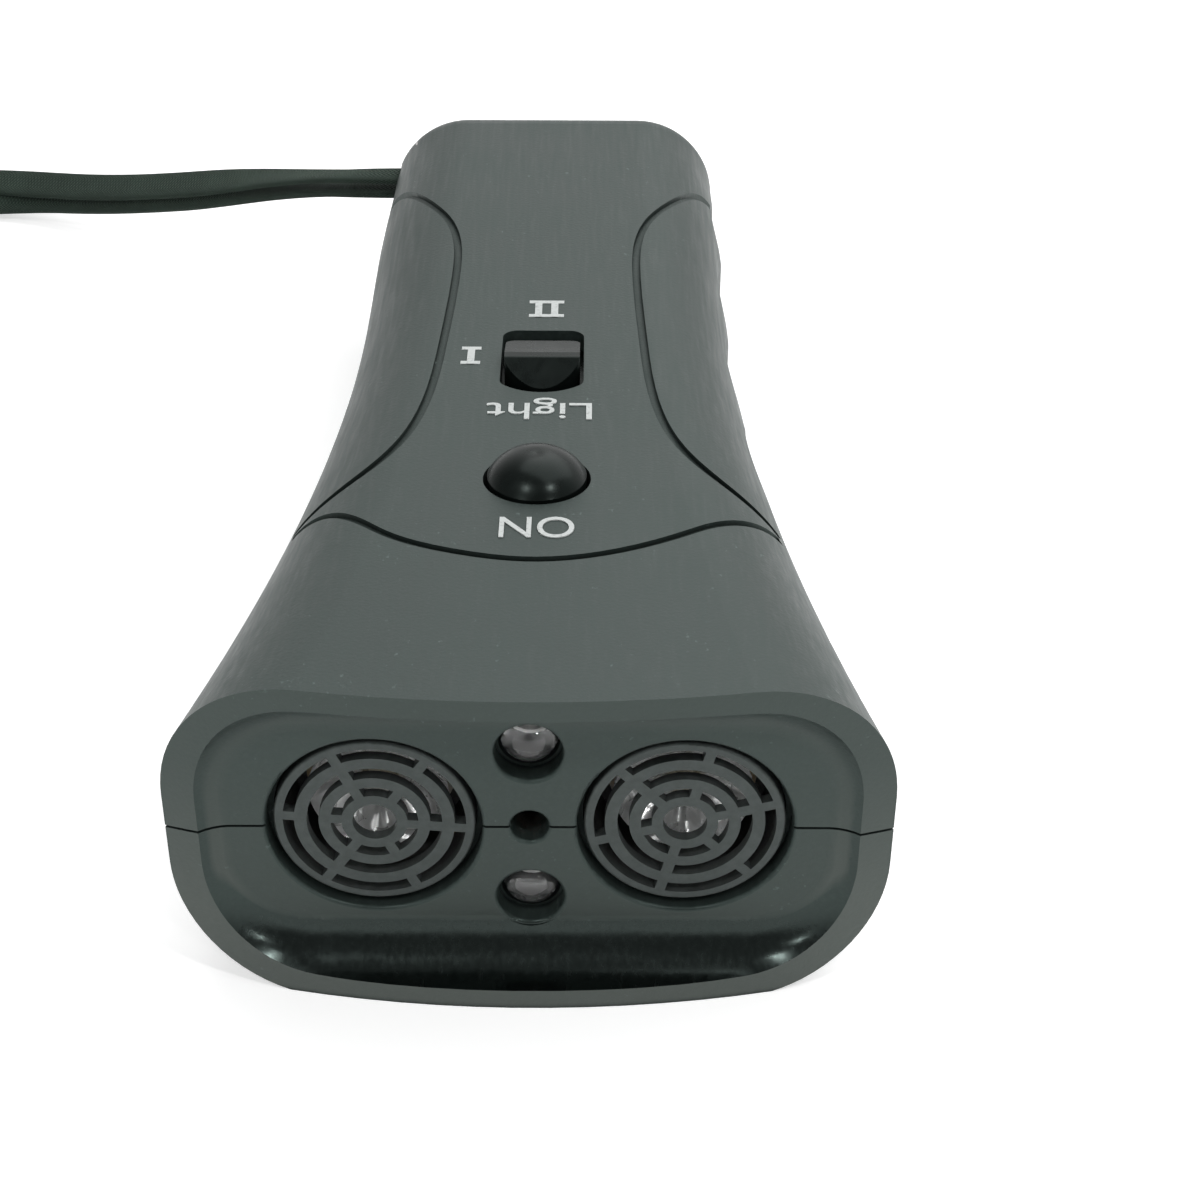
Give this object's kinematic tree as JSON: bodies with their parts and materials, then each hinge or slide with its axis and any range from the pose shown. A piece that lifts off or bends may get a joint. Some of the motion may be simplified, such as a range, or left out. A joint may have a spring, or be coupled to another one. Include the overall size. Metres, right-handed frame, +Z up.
{
  "type": "ultrasonic pest repeller",
  "caption": "Hand-held ultrasonic pest repeller: flared head with two slotted speakers and clear lamps, push button, mode slider, battery handle and wrist strap.",
  "frame": {"origin": "on the resting surface under the middle of the body, at the centre of the bounding box's bottom, measured without the wrist strap", "axes": "+Y from the sounding face to the tail of the handle, +X across the body to the right when it is seen face on, +Z up through the top with the button"},
  "size_m": [0.1704, 0.1765, 0.033],
  "materials": {
    "black_plastic": "fine satin moulded ABS",
    "gloss_black": "glossy moulded ABS",
    "grille_plastic": "satin moulded ABS",
    "clear_epoxy": "water-clear lamp epoxy",
    "red_epoxy": "tinted lamp epoxy",
    "aluminium": "spun aluminium",
    "ceramic": "fired ceramic disc with a silver face",
    "tinned_steel": "tinned wire",
    "screw_steel": "zinc-plated steel",
    "board_laminate": "green lacquered laminate",
    "ferrite": "sintered ferrite",
    "copper_winding": "enamelled copper wire",
    "black_epoxy": "moulded epoxy",
    "capacitor_sleeve": "shrink sleeve",
    "resistor_lacquer": "lacquer",
    "battery_can": "lacquered steel case",
    "nickel": "nickel-plated contacts",
    "black_vinyl": "soft vinyl",
    "red_insulation": "wire insulation",
    "black_insulation": "wire insulation",
    "white_insulation": "wire insulation",
    "webbing": "woven polyester webbing"
  },
  "bodies": {
    "body": {"battery": "battery_can", "battery_terminals": "nickel", "black_lead": "black_insulation", "board_screws": "screw_steel", "capacitors": "capacitor_sleeve", "case_screws": "screw_steel", "chip_legs": "tinned_steel", "circuit_board": "board_laminate", "connector_snaps": "nickel", "indicator_lamp": "red_epoxy", "lamp_legs": "tinned_steel", "lanyard_pin": "screw_steel", "left_piezo_disc": "ceramic", "left_speaker_case": "black_epoxy", "left_speaker_cone": "aluminium", "left_speaker_grille": "grille_plastic", "left_speaker_pins": "tinned_steel", "lower_housing": "black_plastic", "lower_lamp": "clear_epoxy", "red_lead": "red_insulation", "resistors": "resistor_lacquer", "right_piezo_disc": "ceramic", "right_speaker_case": "black_epoxy", "right_speaker_cone": "aluminium", "right_speaker_grille": "grille_plastic", "right_speaker_pins": "tinned_steel", "slide_switch": "nickel", "snap_connector": "black_vinyl", "speaker_leads": "white_insulation", "strap_bight": "webbing", "tact_switch": "black_epoxy", "timer_chip": "black_epoxy", "transformer_core": "ferrite", "transformer_winding": "copper_winding", "transistors": "black_epoxy", "upper_housing": "black_plastic", "upper_lamp": "clear_epoxy", "wrist_strap": "webbing"},
    "button": {"on_button": "gloss_black"},
    "plunger": {"switch_plunger": "black_epoxy"},
    "slider": {"mode_knob": "gloss_black"},
    "carriage": {"switch_carriage": "black_epoxy"},
    "door": {"battery_door": "black_plastic"}
  },
  "joints": [
    {"name": "button_press", "type": "slide", "parent": "body", "child": "button", "axis": [0, 0, -1], "range_m": [0, 0.0005], "stiffness_N_per_m": 1500},
    {"name": "plunger_press", "type": "slide", "parent": "body", "child": "plunger", "axis": [0, 0, -1], "range_m": [0, 0.0005]},
    {"name": "mode_slide", "type": "slide", "parent": "body", "child": "slider", "axis": [0, 1, 0], "range_m": [-0.0025, 0.0025]},
    {"name": "carriage_slide", "type": "slide", "parent": "body", "child": "carriage", "axis": [0, 1, 0], "range_m": [-0.0025, 0.0025]},
    {"name": "door_slide", "type": "slide", "parent": "body", "child": "door", "axis": [0, 1, 0], "range_m": [0, 0.05]}
  ],
  "couplings": [
    {"joint": "plunger_press", "follows": "button_press", "ratio": 1},
    {"joint": "carriage_slide", "follows": "mode_slide", "ratio": 1}
  ]
}
